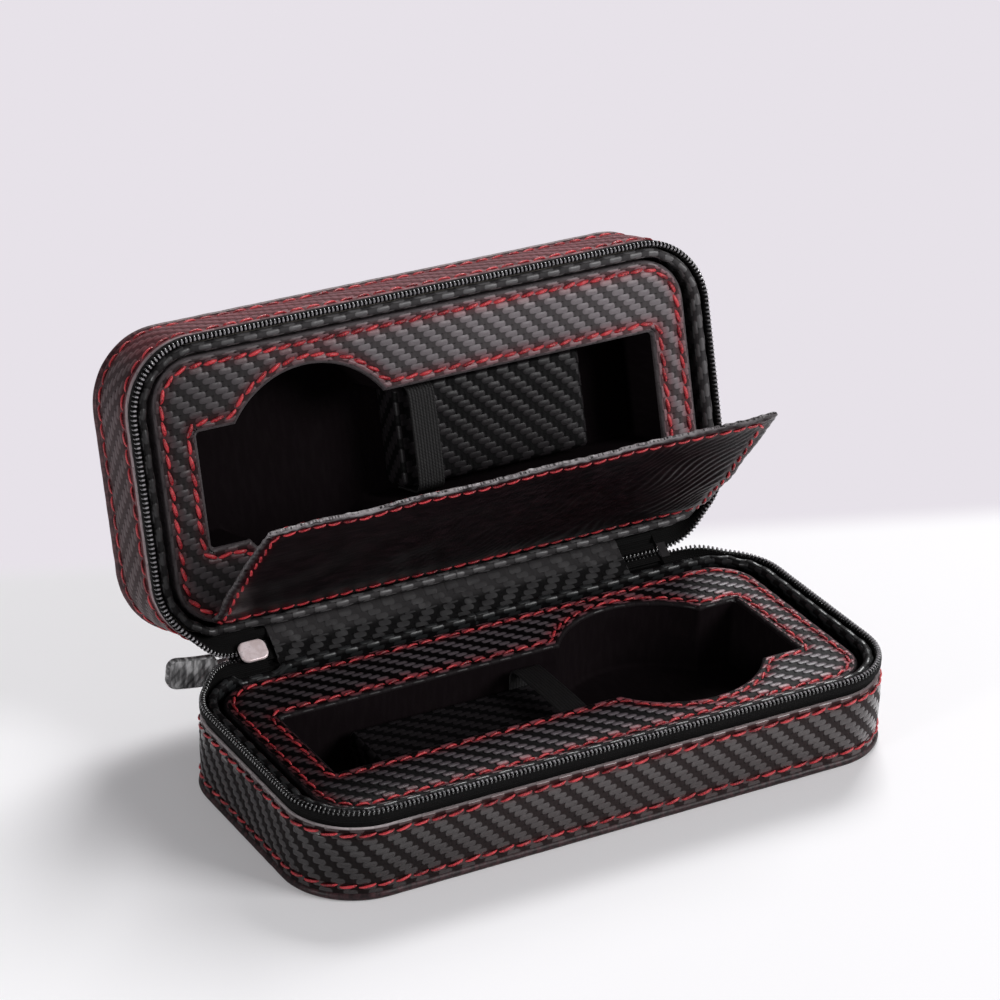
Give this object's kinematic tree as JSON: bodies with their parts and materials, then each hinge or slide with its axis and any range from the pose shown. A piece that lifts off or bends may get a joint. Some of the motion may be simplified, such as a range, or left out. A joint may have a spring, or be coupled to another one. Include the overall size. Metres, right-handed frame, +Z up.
{
  "type": "watch travel case",
  "caption": "Zip-round padded travel case for watches, open: two leatherette trays with watch wells, straps' elastic bands, a soft spine, a divider flap and a zip slider with a pull.",
  "frame": {"origin": "middle of the base's flat underside, on the surface it stands on", "axes": "+X along the spine, towards the end away from the zip slider; +Y towards the spine; +Z up"},
  "size_m": [0.2, 0.1528, 0.1234],
  "materials": {
    "carbon_leatherette": "embossed leatherette, satin",
    "plain_leatherette": "smooth leatherette, satin",
    "red_thread": "twisted polyester thread",
    "stiff_board": "grey board",
    "foam": "closed-cell foam",
    "zip_tape": "woven tape",
    "zip_coil": "polyester coil",
    "elastic": "ribbed elastic",
    "slider_metal": "satin plated"
  },
  "bodies": {
    "base": {"base_bottom_skin": "carbon_leatherette", "base_edge_welt": "carbon_leatherette", "base_side_wall": "carbon_leatherette", "base_wall_thread": "red_thread", "base_bottom_board": "stiff_board", "base_wall_board": "stiff_board", "base_zip_tape": "zip_tape", "base_zip_coil": "zip_coil", "base_inner_collar": "carbon_leatherette", "base_foam_insert": "foam", "base_well_liner": "plain_leatherette", "base_tray_panel": "carbon_leatherette", "base_tray_thread": "red_thread", "base_strap_pad": "carbon_leatherette", "base_elastic_band": "elastic"},
    "spine": {"spine_cover": "carbon_leatherette", "spine_padding": "foam", "spine_lining": "carbon_leatherette", "zip_tails": "zip_tape", "zip_chain": "zip_coil", "zip_end_stop": "slider_metal"},
    "lid": {"lid_top_skin": "carbon_leatherette", "lid_edge_welt": "carbon_leatherette", "lid_side_wall": "carbon_leatherette", "lid_wall_thread": "red_thread", "lid_top_board": "stiff_board", "lid_wall_board": "stiff_board", "lid_zip_tape": "zip_tape", "lid_zip_coil": "zip_coil", "lid_inner_collar": "carbon_leatherette", "lid_foam_insert": "foam", "lid_well_liner": "plain_leatherette", "lid_tray_panel": "carbon_leatherette", "lid_tray_thread": "red_thread", "lid_strap_pad": "carbon_leatherette", "lid_elastic_band": "elastic", "flap_hinge_strip": "plain_leatherette"},
    "flap": {"flap_front_ply": "plain_leatherette", "flap_back_ply": "plain_leatherette", "flap_board": "stiff_board", "flap_thread": "red_thread"},
    "slider": {"zip_slider": "slider_metal", "zip_slider_bridge": "slider_metal"},
    "pull": {"pull_link": "slider_metal", "pull_tab": "carbon_leatherette"}
  },
  "joints": [
    {"name": "spine_fold", "type": "hinge", "parent": "base", "child": "spine", "pos_m": [0, 0.0475, 0.0237], "axis": [-1, 0, 0], "range_deg": [-52.84, 37.16]},
    {"name": "lid_fold", "type": "hinge", "parent": "spine", "child": "lid", "pos_m": [0, 0.05706, 0.03095], "axis": [-1, 0, 0], "range_deg": [-52.84, 37.16]},
    {"name": "flap_fold", "type": "hinge", "parent": "lid", "child": "flap", "pos_m": [0, 0.05483, 0.03926], "axis": [1, 0, 0], "range_deg": [-54.01, 37.99]},
    {"name": "slider_slide", "type": "slide", "parent": "spine", "child": "slider", "axis": [-1, 0, 0], "range_m": [0, 0.004]},
    {"name": "pull_swing", "type": "hinge", "parent": "slider", "child": "pull", "pos_m": [-0.07295, 0.05352, 0.02569], "axis": [0, -0.797, -0.604], "range_deg": [0, 130]}
  ],
  "couplings": [
    {"joint": "lid_fold", "follows": "spine_fold", "ratio": 1},
    {"joint": "flap_fold", "follows": "spine_fold", "ratio": 1.022}
  ]
}
